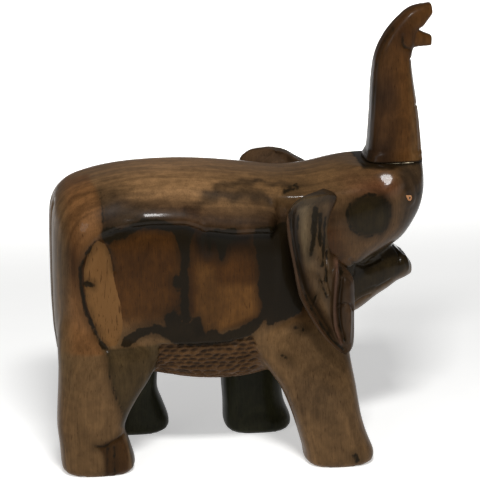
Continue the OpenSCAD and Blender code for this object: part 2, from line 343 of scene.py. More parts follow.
# the foot's middle, then sections: height, middle past the foot's in x and y, length and width as shares
LEGS = {
    "right_hind_leg": ((-133, -44), [
        (10, 0, 0, 1.02, 1), (26, -3, 0, 0.96, 0.98), (42, -6, 0, 0.92, 0.96), (68, 1, 1, 1.1, 1),
        (95, 10, 3, 1.34, 1.02), (130, 12, 8, 1.4, 0.98), (170, 16, 12, 1.24, 0.9), (205, 24, 16, 0.8, 0.7),
    ]),
    "left_hind_leg": ((-88, 51), [
        (10, -3, 0, 0.97, 1), (26, -6, 0, 0.88, 0.98), (42, -10, -1, 0.84, 0.98), (68, -14, -5, 1.02, 1),
        (95, -18, -9, 1.3, 1.02), (130, -22, -14, 1.4, 0.98), (170, -24, -18, 1.2, 0.9),
        (205, -20, -22, 0.8, 0.7),
    ]),
    "right_fore_leg": ((82, -52), [
        (10, -1, 0, 0.98, 1), (24, -6, 1, 0.95, 1), (44, -12, 2, 0.95, 1.02), (72, -20, 5, 1.06, 1.04),
        (98, -31, 10, 1.26, 1.06), (130, -36, 16, 1.34, 1), (165, -38, 20, 1.12, 0.9),
        (195, -36, 24, 0.8, 0.7),
    ]),
    "left_fore_leg": ((21, 40), [
        (10, 0, 0, 0.98, 1), (24, -3, 2, 0.88, 0.98), (44, -5, 3, 0.86, 0.98), (72, -3, 5, 0.94, 1.06),
        (98, 2, 7, 1.1, 1.14), (130, 6, 7, 1.2, 1.14), (165, 8, 2, 1.1, 0.96), (195, 8, -4, 0.8, 0.7),
    ]),
}


def leg_rings(foot, rows):
    across, along = rounded(LEG_SIDES, LEG_SQUARENESS)
    rings = []

    def add(z, row, shrink):
        half_x, half_y = FOOT[0] / 2 * row[3] - shrink, FOOT[1] / 2 * row[4] - shrink
        rings.append(np.column_stack([
            foot[0] + row[1] + half_x * across, foot[1] + row[2] + half_y * along, np.full(LEG_SIDES, z)
        ]))

    for angle in np.radians([0, 30, 60, 90]):
        add(SOLE_ROUND * (1 - np.cos(angle)), rows[0], SOLE_ROUND * (1 - np.sin(angle)))
    for row in smoothed(rows, 2):
        add(row[0], row, 0)
    return rings


legs = [loft(name, leg_rings(*leg)) for name, leg in LEGS.items()]
print("legs:", [leg.name for leg in legs])

# %% [markdown]
# ## The tail
# The tail is carved in relief down the hollow between the hips, and ends in a tuft. A thin loft gives the
# wood for it, and the cuts beside it come later, once the skin is smooth.

# %% Tail blank
TAIL_SIDES = 16
TAIL_HALF_DEPTH = 5
# height, x of the middle, half width
TAIL = [
    (242, -157, 3.5), (232, -161.5, 4.5), (210, -163.5, 5), (185, -163.5, 5), (160, -163, 5),
    (140, -162.5, 5), (124, -162, 6), (110, -161, 7.5), (99, -159.5, 7.5), (90, -156, 4),
]


def tail_ring(z, x, half):
    across, along = rounded(TAIL_SIDES, 2)
    return np.column_stack([x + TAIL_HALF_DEPTH * across, half * along, np.full(TAIL_SIDES, z)])


tail = loft("tail", [tail_ring(*row) for row in smoothed(TAIL, 3)])
print("tail:", len(tail.data.vertices), "points")

# %% [markdown]
# ## The collar
# The head rises to the trunk in a short collar of the trunk's own outline. It is left too tall here, and
# sawn off level once the skin is smooth, so that the seat keeps the crisp edge of a saw cut.

# %% Collar blank
glue_low, glue_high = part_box("trunk_glue_line")
SEAT_Z = glue_low.z / MM
BASE_X = (glue_low.x + glue_high.x) / 2 / MM
COLLAR_SIDES, COLLAR_SQUARENESS = 28, 3.2
# height past the seat, how far the middle lies back, half length, half width
COLLAR = [(-30, 6, 29, 31), (-16, 3, 28, 28.5), (-7, 1, 27, 25), (-2, 0, 26.4, 23.4), (8, 0, 26.4, 23.2)]


def collar_ring(past, back, half_x, half_y):
    along, across = rounded(COLLAR_SIDES, COLLAR_SQUARENESS)
    level = np.full(COLLAR_SIDES, SEAT_Z + past)
    return np.column_stack([BASE_X - back + half_x * along, half_y * across, level])


collar = loft("collar", [collar_ring(*row) for row in smoothed(COLLAR, 2)])
print("seat for the trunk at", round(SEAT_Z, 2), "mm")

# %% [markdown]
# ## One skin
# A voxel remesh turns the blanks into one closed skin of even 2.65 mm squares, and a few rounds of
# smoothing melt the joins between leg, belly and head, as the rasp and sandpaper do. A boolean union
# would also join them, but it keeps every crease between the blanks.

# %% Join, remesh and soften
VOXEL = 2.65
MELT_ROUNDS = 11
body = joined("elephant_body", [barrel, jaw, tail, collar, *legs])
finish_with(body, "REMESH", mode="VOXEL", voxel_size=VOXEL * MM)
finish_with(body, "SMOOTH", factor=0.5, iterations=MELT_ROUNDS)
print("skin:", len(body.data.polygons), "faces")

# %% [markdown]
# ## Cutting the big forms
# On the real piece the back lies on the flank like a blanket: its rounded edge runs along both sides,
# and the flank below it is cut back. Under the flank a belly band is cut back again, and gouged. A sculpt
# brush could do it, but a formula cuts both sides alike and the same way each time.

# %% Back edge, flank and belly band
# x places along the animal, and the heights there
BACK_EDGE = ([-128, -112, -86, -56, -39, -14, 8, 21], [219, 225, 228, 227, 221, 217, 217, 216])
FLANK_FOOT = ([-118, -74, -44, -18, 4, 26, 48], [120, 117, 116, 117, 122, 131, 137])
BLANKET_FRONT = 22
FLANK_DEPTH = 5.5
BAND_DEPTH = 3
EDGE_SWELL, EDGE_HOLLOW, EDGE_LIP = 3.8, 2.0, 1.0   # a roll along the edge, the dip above it, its sharp lip


def belly_band(x, z):
    """1 on the gouged band between the legs, under the flank."""
    foot = np.interp(x, *FLANK_FOOT)
    behind = rise(-80, -77, x + (117 - z) * 0.1)
    ahead = fall(1, 4, x - (122 - z) * 0.35)
    return behind * ahead * fall(foot - 1.5, foot + 0.5, z)


p = points_of(body)
x, y, z = p.T
side, away = np.sign(y), abs(y)
on_side = rise(46, 56, away)
edge = np.interp(x, *BACK_EDGE)
top = np.where(x < BLANKET_FRONT, edge, edge + 34 * rise(BLANKET_FRONT, BLANKET_FRONT + 3, x))
foot = np.interp(x, *FLANK_FOOT)
below = fall(top - 2.2, top + 0.6, z)
along = rise(-134, -118, x) * fall(50, 66, x)
depth = FLANK_DEPTH - 3 * rise(0, 90, top - z)
p[:, 1] -= side * on_side * below * along * depth * rise(foot - 14, foot + 2, z)
along_edge = rise(-118, -88, x) * fall(BLANKET_FRONT - 4, BLANKET_FRONT + 1, x)
ridge = rise(44, 56, away) * along_edge
p[:, 1] += side * (EDGE_SWELL * near(z, edge + 7, 10) - EDGE_HOLLOW * near(z, edge + 27, 10)) * ridge
p[:, 1] += side * on_side * EDGE_LIP * near(z, edge + 3, 3.5) * along_edge
p[:, 1] -= side * rise(30, 44, away) * belly_band(x, z) * BAND_DEPTH * rise(80, 96, z)
put_points(body, p)
print("back edge lies on", int((ridge > 0.5).sum()), "points")

# %% [markdown]
# ## The head
# The brow swells under the trunk, the cheek ends in a clear edge over the jaw, and the lower lip is
# scooped like a spoon. Each is a bell-shaped push or cut at its own place, which leaves no seam. The seat
# for the trunk is sawn flat by a boolean, because only a real cut gives a crisp edge.

# %% Brow, cheek, lip and seat
CHEEK_EDGE = ([74, 88, 100, 116, 130, 140], [183, 177, 180, 186, 192, 198])

p = points_of(body)
x, y, z = p.T
side, away = np.sign(y), abs(y)
brow = near(x, 130, 17) * near(away, 33, 13) * near(z, 252, 10)
p[:, 1] += side * 4.0 * brow
p[:, 2] += 2.5 * brow
temple = near(x, 92, 34) * near(away, 50, 10) * near(z, 247, 7)
p[:, 1] += side * 2.0 * temple
ear_root = near(x, 60, 20) * near(away, 50, 12) * near(z, 243, 10)
p[:, 1] += side * 5 * ear_root
p[:, 2] += 3 * ear_root
cheek = np.interp(x, *CHEEK_EDGE)
under = fall(cheek - 5, cheek + 1, z) * rise(70, 80, x) * fall(124, 136, x) * rise(128, 150, z)
p[:, 1] -= side * under * np.clip(away - 31, 0, None) * 0.85
scoop = near(away, 0, 9) * rise(134, 146, x) * rise(150, 164, z) * fall(176, 186, z)
p[:, 2] -= 7 * scoop
behind_seat = rise(84, 104, x) * fall(106, 108, x)
p[:, 2] -= np.clip(p[:, 2] - SEAT_Z, 0, None) * behind_seat
put_points(body, p)

# %% Rasp flats on the brow
BROW_FLAT, BROW_FACING = (124, 38.5, 252), (-0.16, 0.82, 0.55)
BROW_WHOLE, BROW_GONE = 5, 17
for hand in (-1, 1):
    mirror = np.array([1, hand, 1])
    plane_off(body, BROW_FLAT * mirror, BROW_FACING * mirror, None, BROW_WHOLE, BROW_GONE)

# %% Saw the seat
SAW_START, SAW_CUT = 105, (80, 120, 30)   # where the cut begins in x, and its length, width and height
deselect()
bpy.ops.mesh.primitive_cube_add(size=1)
saw = bpy.context.object
bpy.ops.object.mode_set(mode="EDIT")
bpy.ops.transform.resize(value=[length * MM for length in SAW_CUT])
bpy.ops.transform.translate(value=((SAW_START + SAW_CUT[0] / 2) * MM, 0, (SEAT_Z + SAW_CUT[2] / 2) * MM))
bpy.ops.object.mode_set(mode="OBJECT")
finish_with(body, "BOOLEAN", operation="DIFFERENCE", solver="MANIFOLD", object=saw)
bpy.data.objects.remove(saw)
print("sawn skin:", len(body.data.polygons), "faces")

# %% [markdown]
# ## The rump and the feet
# The tail lies in a shallow hollow between two grooves, which the smoothing has softened, so it is cut
# again here in a finer skin. The soles are pressed flat again as well, so that the piece stands firm.

# %% Rump and soles
refine(body, lambda x, y, z: (x < -150) & (abs(y) < 16) & (z > 86) & (z < 244))
p = points_of(body)
x, y, z = p.T
at_rear = fall(-156, -148, x) * rise(90, 96, z) * fall(228, 240, z)
tail_z, tail_x, tail_half = np.array(TAIL[::-1]).T
crest = np.interp(z, tail_z, tail_x) - TAIL_HALF_DEPTH + 0.12 * y * y
half = np.interp(z, tail_z, tail_half)
p[:, 0] += (np.minimum(x, crest) - x) * fall(half - 0.5, half + 1.5, abs(y)) * at_rear
p[:, 0] += 4.0 * near(abs(y), half + 5.5, 4) * at_rear
low = z.min()
p[:, 2] = np.where(z < low + 1.2, 0, z - low * fall(0, 30, z))
put_points(body, p)
print("body box in mm:", points_of(body).min(0).round(1), points_of(body).max(0).round(1))

# %% [markdown]
# ## The ears
# An ear is a leaf of wood that hangs from the side of the head. Its outside is hollowed with a gouge,
# which leaves a thin raised rim at the back and a folded lobe in front. It is lofted upwards in level
# slices: out along the hollow face and back along the inner one.

# %% Ear slices
EAR_OUT = 86.85   # how far the rim's plane lies from the middle
EAR_COLUMNS = 36
EAR_VOXEL = 0.95
# height, then seven places from the front edge to the rim: x, how far inside the rim's plane the face lies
EAR = [
    (109, (86, 9), (85, 7), (84.4, 6), (83.6, 4.5), (82.6, 2.5), (81.4, 0.8), (80, 0)),
    (114, (89, 11), (86, 6), (83, 5), (80, 5), (77, 3.5), (75, 0.8), (73, 0)),
    (124, (90, 12), (85, 6), (79, 6), (74, 8), (69, 6), (65.5, 0.8), (63, 0)),
    (138, (90, 13), (84, 6), (76, 8), (68, 12), (60, 8), (55.5, 0.8), (53, 0)),
    (160, (90, 14), (83, 7), (73, 11), (60, 16), (49, 11), (43.5, 0.8), (41, 0)),
    (174, (89, 18), (82, 10), (71, 13), (57, 17), (45.5, 12), (39.7, 0.8), (37, 0)),
    (184, (80, 26), (75, 20), (67, 16), (54, 18), (42.5, 12), (38, 0.8), (35.2, 0)),
    (194, (73, 30), (69, 25), (63, 19), (51, 18), (40.5, 12), (36.2, 0.8), (33.4, 0)),
    (212, (70, 31), (65, 26), (58, 21), (47, 19), (37, 12), (32.8, 0.9), (29.8, 0)),
]
RIGHT_TOP = [
    (226, (71, 31), (66, 27), (58, 22), (47, 20), (36.5, 12), (31.8, 2.5), (28, 0)),
    (235, (74, 31), (68, 27), (59, 22.5), (48, 19), (38, 12.5), (33.5, 5.5), (28.5, 1)),
    (241, (76, 30), (69, 26), (60, 21.5), (50, 17), (41, 12.5), (36, 8), (31.5, 3.5)),
    (245.5, (75, 27), (68, 23.5), (60, 19.5), (51, 15.5), (44, 12), (39.5, 9), (36.5, 6.5)),
    (248.6, (66, 20.5), (62, 19), (58, 17.5), (53, 15.5), (48.5, 13.5), (46, 12.5), (44.5, 11.5)),
]
LEFT_TOP = [
    (228, (76, 30), (68, 25), (60, 20), (46, 17), (32, 10), (26.5, 1.5), (23, 0.2)),
    (236, (79, 24), (70, 20), (60, 16), (46, 13), (31, 8), (23.5, 1.5), (20, 0.3)),
    (243, (79, 18), (70, 15), (60, 12), (46, 10), (31, 6), (23, 1.5), (19.2, 0.5)),
    (249, (68, 12), (62, 10), (55, 8), (45, 6.5), (34, 4.5), (27, 2), (23.5, 1.2)),
    (253, (60, 7), (56, 6), (51, 5), (45, 4), (38, 3), (33, 2), (31, 1.6)),
    (254.6, (51, 4), (49.5, 4), (48, 3.5), (46, 3), (44, 2.8), (42.5, 2.5), (41.5, 2.4)),
]
# height, wood behind the face at the front edge, and at the rim
EAR_WOOD = (
    [109, 124, 150, 176, 200, 235, 255],
    [3, 6, 12, 24, 30, 28, 20],
    [2.6, 2.8, 3, 3.2, 3.4, 4, 4.5],
)
LEFT_SET_BACK = 8


def ear_ring(row, hand):
    """One level slice, out along the face and back along the inner side."""
    z, places = row[0], row[1:].reshape(-1, 2)
    face = smoothed(places, EAR_COLUMNS // (len(places) - 1))
    share = np.linspace(0, 1, len(face))
    front = np.interp(z, EAR_WOOD[0], EAR_WOOD[1])
    rim = np.interp(z, EAR_WOOD[0], EAR_WOOD[2])
    wood = rim + (front - rim) * (1 - share) ** 1.3
    x = face[:, 0] - LEFT_SET_BACK * (hand > 0)
    level = np.full(len(face), z)
    outer = np.column_stack([x, hand * (EAR_OUT - face[:, 1]), level])
    inner = np.column_stack([x, hand * (EAR_OUT - face[:, 1] - wood), level])
    return np.vstack([outer, inner[::-1]])


def ear(name, hand, top):
    rows = [[row[0]] + [v for place in row[1:] for v in place] for row in EAR + top]
    blade = loft(name, [ear_ring(row, hand) for row in smoothed(rows, 5)])
    finish_with(blade, "REMESH", mode="VOXEL", voxel_size=EAR_VOXEL * MM)
    finish_with(blade, "SMOOTH", factor=0.5, iterations=3)
    return blade


ears = {-1: ear("right_ear", -1, RIGHT_TOP), 1: ear("left_ear", 1, LEFT_TOP)}
print("ears:", [len(e.data.polygons) for e in ears.values()], "faces")

# %% [markdown]
# ## The raised trunk
# The trunk is a block of its own, sawn off square at the bottom. It is drawn as sections that tilt as it
# curls forward at the tip, with a squarish lower finger, and keeps the flats that the rasp left on it.

# %% Trunk blank
trunk_low, trunk_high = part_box("trunk")
TRUNK_FOOT = trunk_low.z / MM
RISE = (trunk_high - trunk_low).z / MM
TIP_X = trunk_high.x / MM
# height as a share of the rise, then x past the base's middle, tilt, half length, half width
TRUNK = [
    (0, -0.2, 0, 26.1, 22.9), (0.03, 0.2, 0, 24.9, 21.9), (0.09, 1.2, 0, 23.8, 20.7),
    (0.3, 0.4, 0, 21.4, 18.4), (0.5, -1.4, 2, 18.7, 16.3), (0.66, -1.1, 8, 16.1, 14.7),
    (0.78, 4.8, 26, 13.5, 13.3),
    (0.875, 12.4, 44, 10, 11.2), (0.915, 20.2, 60, 10, 9.8), (0.963, 32.2, 82, 5.1, 6.9),
]
# before the tip, height past the trunk's foot, half height, half width
FINGER = [
    (34, 103.5, 9, 9), (20, 107.2, 9.2, 8.6), (13, 107.2, 7.9, 8), (7, 105.8, 6.1, 7.4),
    (0.6, 104.8, 4.6, 6.6),
]
TRUNK_SIDES, FINGER_SIDES, FINGER_SQUARENESS = 32, 24, 3.4
TRUNK_VOXEL = 0.9


def trunk_ring(share, past, tilt, half_x, half_y):
    along, across = rounded(TRUNK_SIDES, 4.2 if share < 0.05 else 3)   # squarer where it meets the seat
    c, s = math.cos(math.radians(tilt)), math.sin(math.radians(tilt))
    return np.column_stack([
        BASE_X + past + half_x * along * c, half_y * across, TRUNK_FOOT + share * RISE - half_x * along * s
    ])


def finger_ring(before_tip, past_foot, half_z, half_y):
    across, up = rounded(FINGER_SIDES, FINGER_SQUARENESS)
    z = TRUNK_FOOT + past_foot + half_z * up
    return np.column_stack([np.full(FINGER_SIDES, TIP_X - before_tip), half_y * across, z])


trunk = joined("raised_trunk", [
    loft("trunk_blank", [trunk_ring(*row) for row in smoothed(TRUNK, 4)]),
    loft("lower_finger", [finger_ring(*row) for row in smoothed(FINGER, 2)]),
])
finish_with(trunk, "REMESH", mode="VOXEL", voxel_size=TRUNK_VOXEL * MM)
finish_with(trunk, "SMOOTH", factor=0.5, iterations=4)
p = points_of(trunk)
p[:, 2] = np.where(p[:, 2] < TRUNK_FOOT + 0.8, TRUNK_FOOT, p[:, 2])
put_points(trunk, p)
print("trunk:", len(trunk.data.polygons), "faces, box", p.min(0).round(1), p.max(0).round(1))

# %% [markdown]
# ## Chisel strokes
# The folds of the lobe, the line inside the rim and the cuts by the mouth are single strokes of a small
# gouge or knife. A stroke follows a line drawn on the side of the animal, and raises or lowers the
# points near it. The skin is cut finer first where the strokes are thin.


# %% Strokes
def from_line(x, z, line):
    """How far each point lies from a line through x, z places."""
    best = np.full(len(x), np.inf)
    for (ax, az), (bx, bz) in zip(line, line[1:]):
        dx, dz = bx - ax, bz - az
        t = np.clip(((x - ax) * dx + (z - az) * dz) / (dx * dx + dz * dz), 0, 1)
        best = np.minimum(best, np.hypot(x - ax - t * dx, z - az - t * dz))
    return best


def stroke(piece, hand, line, width, height):
    """Raise (or, below 0, lower) one side's surface along a line, where it faces outwards."""
    p, n = points_of(piece), normals_of(piece)
    line = smoothed(line, 6) if len(line) > 2 else line
    facing = rise(0.1, 0.4, hand * n[:, 1]) * (hand * p[:, 1] > 6)
    move = height * near(from_line(p[:, 0], p[:, 2], line), 0, width) * facing
    put_points(piece, p + n * move[:, None])


# Lines on the right ear as x, z. On the left one they are set back with the ear.
RIM_LINE = [
    (31, 236), (33, 222), (35, 208), (38, 192), (42, 174), (47.5, 158), (59, 136), (69.5, 121), (78, 113),
]
LOBE_RIDGE = [(75, 188), (73, 172), (72, 150), (73, 132), (77, 118)]
LOBE_GROOVE = [(79, 182), (76.5, 165), (75.5, 150), (76.5, 134), (80, 121)]
# line, half width of the tool's mark, how far it raises the wood
EAR_STROKES = [
    (LOBE_RIDGE, 1.6, 3.3), (LOBE_GROOVE, 1.3, -2.55), (RIM_LINE, 0.9, -2.25),
    ([(67, 196), (65, 182), (64.5, 172), (67, 161)], 1.1, -1.95),   # fold behind the lobe
    ([(75, 150), (80, 154), (86, 152), (88, 147)], 0.9, -1.65),   # end of a chisel cut
    ([(84, 146), (84, 134), (83, 120)], 2.2, 1.8),   # round of the lobe
    ([(55, 226), (54, 212), (52, 200)], 0.7, -1.2),   # checks in the wood of the hollow
    ([(61, 224), (60, 210)], 0.6, -1.05),
    ([(58, 178), (61, 170), (65, 160)], 0.7, -1.35),
    ([(52, 150), (58, 160), (60, 172)], 0.6, -0.9),
]
for hand, blade in ears.items():
    back = LEFT_SET_BACK * (hand > 0)
    for line, width, height in EAR_STROKES:
        stroke(blade, hand, [(lx - back, lz) for lx, lz in line], width, height)

REAR_FLAT = [(112.5, 266), (115.5, 300), (117.5, 330), (119, 350), (124, 366), (133, 380)]
FINGER_CUT = [(141, 374), (140.5, 368), (143, 363.5), (150, 361)]
TRUNK_STROKES = [
    (REAR_FLAT, 1.2, -0.5), (FINGER_CUT, 1.3, -0.8),
    ([(158, 266), (156, 300), (152.5, 330), (150, 352)], 1.3, -0.45),   # edge of the front flat
]
NICKS, NICK_DEPTH = [(149.5, 352), (154, 311)], 1.6
for hand in (-1, 1):
    for line, width, height in TRUNK_STROKES:
        stroke(trunk, hand, line, width, height)
p = points_of(trunk)
for nick_x, nick_z in NICKS:
    p[:, 0] -= NICK_DEPTH * near(p[:, 0], nick_x + 2, 3) * near(p[:, 2], nick_z, 1.0) * near(p[:, 1], -6, 9)
put_points(trunk, p)
print("cut", len(EAR_STROKES), "strokes on each ear and", len(TRUNK_STROKES), "on each side of the trunk")

# %% [markdown]
# ## Gouged belly and cut details on the body
# The band under the flank is left as the small gouge cut it, in short scoops that lie side by side like
# scales. On the legs the knife marks the toes, the back of the knee and the gap beside the bark.

# %% Finer skin where the cuts are small
# belly band, jaw and face, thigh with its bark, right hind foot
refine(body, lambda x, y, z: (belly_band(x, z) > 0.3) & (z < 124) & (z > 66), cuts=2)
refine(body, lambda x, y, z: (x > 84) & (z > 128) & ((z < 194) | (x > 132)) & (z < 250))
refine(body, lambda x, y, z: (x < -108) & (x > -150) & (z > 112) & (z < 216) & (abs(y) > 40))
refine(body, lambda x, y, z: (x < -104) & (x > -150) & (z < 44) & (z > 1) & (y < -24))
finish_with(body, "SMOOTH", factor=0.35, iterations=1)
print("skin:", len(body.data.polygons), "faces")

# %% Gouge scoops on the belly
SCOOP_LENGTH, SCOOP_WIDTH, SCOOP_DEPTH = 9.5, 4.4, 1.7
SCOOP_STEP, SCOOP_ROW_STEP = 8.2, 4.6
BELLY_AXIS_Z, BELLY_RADIUS = 150, 72
dice = np.random.default_rng(7)
p, n = points_of(body), normals_of(body)
x, y, z = p.T
round_belly = BELLY_RADIUS * np.arctan2(y, BELLY_AXIS_Z - z)
band = belly_band(x, z) * (z < 124) * rise(66, 70, z)
cut = np.zeros(len(p))
for row, level in enumerate(np.arange(-104, 105, SCOOP_ROW_STEP)):
    for column in np.arange(-82, 8, SCOOP_STEP):
        cx = column + SCOOP_STEP / 2 * (row % 2) + dice.uniform(-1.6, 1.6)
        cs = level + dice.uniform(-1.0, 1.0)
        turn = math.radians(dice.uniform(-24, 10))
        dx, ds = x - cx, round_belly - cs
        u = (dx * math.cos(turn) + ds * math.sin(turn)) / (SCOOP_LENGTH / 2)
        v = (ds * math.cos(turn) - dx * math.sin(turn)) / (SCOOP_WIDTH / 2)
        cut = np.maximum(cut, (0.75 + 0.25 * dice.random()) * np.clip(1 - u * u - v * v, 0, 1))
put_points(body, p - n * (SCOOP_DEPTH * band * np.sqrt(cut))[:, None])
scooped = band * np.sqrt(cut)
print("gouged", int((band > 0.5).sum()), "points")

# %% Knife cuts on the body
BARK_GAP = [
    (-133, 214), (-141, 203), (-146.5, 190), (-146, 172), (-143.5, 156), (-138, 140), (-131, 124),
    (-125, 116),
]
FOOT_CUT = [(-137, 30), (-130, 29), (-122, 33), (-112, 36)]
TOE_FRONT, TOE_BACK = [(-120, 28), (-120.5, 3)], [(-126.5, 27), (-127, 3)]
JAW_CUT, CHIN_CUT = [(99, 137), (106, 142), (113, 144)], [(118, 150), (125, 153), (132, 156)]
MOUTH_SLOT = [(137, 184), (141, 178), (141, 171)]
DRIP, DRIP_HALF = [(-40, 224), (-39, 210), (-37.5, 199)], 1.5
BODY_STROKES = [
    (BARK_GAP, 1.5, -1.6),
    (DRIP, 2.4, 1.5),   # a run of wood left standing under the edge
    ([(-124, 210), (-119, 196), (-117, 186)], 0.9, -0.7),
    ([(-142, 177), (-139, 176)], 2.2, -2.2),   # knot hole
    (FOOT_CUT, 1.0, -1.1), (TOE_BACK, 0.8, -1.1), (TOE_FRONT, 0.8, -0.8),
    ([(-154, 96), (-151, 50), (-147, 18)], 1.6, 0.6),   # edge up the back of the leg
    ([(90, 185), (97, 176), (108, 172), (122, 176)], 1.8, -1.6),   # under the cheek
    (JAW_CUT, 1.1, -1.1),   # gouge cuts along the foot of the jaw
    ([(103, 147), (110, 150), (118, 152)], 1.0, -0.9), (CHIN_CUT, 1.0, -1.0),
    ([(98, 172), (97, 164)], 1.0, -0.8),
    (MOUTH_SLOT, 1.2, -2.4),
    ([(145, 178), (149, 170), (150, 162)], 1.0, 0.8),   # rim of the lip
    ([(92, 12), (90, 5)], 0.9, -0.9),
]
for hand in (-1, 1):
    for line, width, height in BODY_STROKES:
        stroke(body, hand, line, width, height)
print("cut", len(BODY_STROKES), "strokes on each side of the body")

# %% [markdown]
# ## The eyes and the glue
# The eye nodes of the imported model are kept. The wood round each one is dressed down to a small land, so
# that the inlay stands just proud of it. Glue squeezed out of the trunk joint in a few short beads on the
# right side. They are one thin loft along the joint's outline, whose radius swells and dies away. A bevelled
# curve could do the same, but a loft is closed at its ends from the start.

# %% A land for each eye
EYE_LAND, EYE_BLEND, EYE_PROUD = 5.5, 5, 0.55
for name, hand in (("right_eye_inlay", -1), ("left_eye_inlay", 1)):
    inlay = points_of(bpy.data.objects[name])
    centre = inlay.mean(0)
    out = np.linalg.svd(inlay - centre)[2][2]
    out *= np.sign(out[1] * hand)
    face = ((inlay - centre) @ out).max() - EYE_PROUD
    plane_off(body, centre, out, face, EYE_LAND, EYE_LAND + EYE_BLEND)
    print(name, "faces", out.round(2))

# %% Squeezed-out glue
BEAD_SIDES, BEAD_OUT, JOINT_SQUARENESS = 10, 0.5, 2.6
glue_z = (glue_low.z + glue_high.z) / 2 / MM
glue_half = (glue_high - glue_low) / 2 / MM
turn = np.radians(np.linspace(-84, -40, 80))
along, across = superellipse(turn, JOINT_SQUARENESS)
route = np.column_stack([
    BASE_X + (glue_half.x + BEAD_OUT) * along, (glue_half.y + BEAD_OUT) * across, np.full(len(turn), glue_z)
])
degrees = np.degrees(turn)
swell = 0.12 + 0.6 * near(degrees, -72, 5) + 0.75 * near(degrees, -62, 3.5) + 0.4 * near(degrees, -50, 4)
heading = np.gradient(route, axis=0)
heading /= np.linalg.norm(heading, axis=1)[:, None]
aside = np.cross(heading, (0, 0, 1))
spoke, lift = rounded(BEAD_SIDES, 2)
beads = loft("glue_beads", [
    centre + radius * (spoke[:, None] * out + lift[:, None] * np.array([0, 0, 1.1]))
    for centre, radius, out in zip(route, swell, aside)
])
print("glue bead:", len(beads.data.polygons), "faces")

# %% [markdown]
# ## The figure of the wood
# The dark heartwood runs through this log in streaks and clouds, and one strip of pale sapwood with its
# bark shows on the thigh. No even pattern gives that, so the figure is painted: a few soft patches of
# colour, and outlines whose distance is kept on each point, which the shader frays with noise. Painted
# light goes in the same way: shade into the cuts, grooves and gouged hollows, under the back's edge and on
# the legs' inner faces, and highlights on the ears' rim and lobe ridge. A painted picture on a UV map could
# do it too, but its seams would cut the grain.


# %% Paint helpers
def linear(code):
    """An sRGB hex colour as linear red, green and blue."""
    values = np.array([int(code[i:i + 2], 16) / 255 for i in (1, 3, 5)])
    return np.where(values <= 0.04045, values / 12.92, ((values + 0.055) / 1.055) ** 2.4)


def inside(x, z, outline):
    """How deep each point lies inside an outline, in mm; below 0 outside it."""
    edge = from_line(x, z, outline + outline[:1])
    within = np.zeros(len(x), bool)
    for (ax, az), (bx, bz) in zip(outline, outline[1:] + outline[:1]):
        crosses = (az > z) != (bz > z)
        within ^= crosses & (x < ax + (z - az) * (bx - ax) / (bz - az if bz != az else 1))
    return np.where(within, edge, -edge)


def wash(tone, weight, code):
    """Lay a colour over the tone, as thick as the weight."""
    tone += (linear(code) - tone) * np.clip(weight, 0, 1)[:, None]


def keep_paint(piece, tone, shine=1.0, **fields):
    """Store the tone, with its shine as alpha, and each field, in centimetres, on every point."""
    paint = piece.data.attributes.new("tone", "FLOAT_COLOR", "POINT")
    paint.data.foreach_set("color", np.column_stack([tone, np.full(len(tone), shine)]).ravel())
    for name in ("dark", "sap"):
        field = piece.data.attributes.new(name, "FLOAT", "POINT")
        depth = fields.get(name, np.full(len(tone), -10.0))
        field.data.foreach_set("value", np.clip(depth, -10, 10) / 10)


# %% Colours of the wood
BACK_TAN = "#80603f"
BACK_BROWN = "#5e452a"
SMOKE = "#322619"
HIP_BROWN = "#674628"
HIP_RED = "#301a09"
RUMP_OLIVE = "#55442d"
FLANK_RED = "#3a220a"
FLANK_AMBER = "#533617"
INK = "#130f07"
LEG_TAN = "#5f472d"
LEG_GREEN = "#40321e"
# painted shade for the legs' inner faces and the far legs
PAINTED_LEG_SHADE = "#171d11"
CHEEK = "#533d26"
DISC = "#191507"
BROW_RED = "#583520"
JAW_DARK = "#1b190d"
DRAPE = "#29190f"
# painted shade for the flank under the back's edge
FLANK_PAINTED_SHADE = "#120c06"
BELLY = "#4d3620"
# painted shade for the gouge scoops
BELLY_HOLLOW_SHADE = "#1c130c"

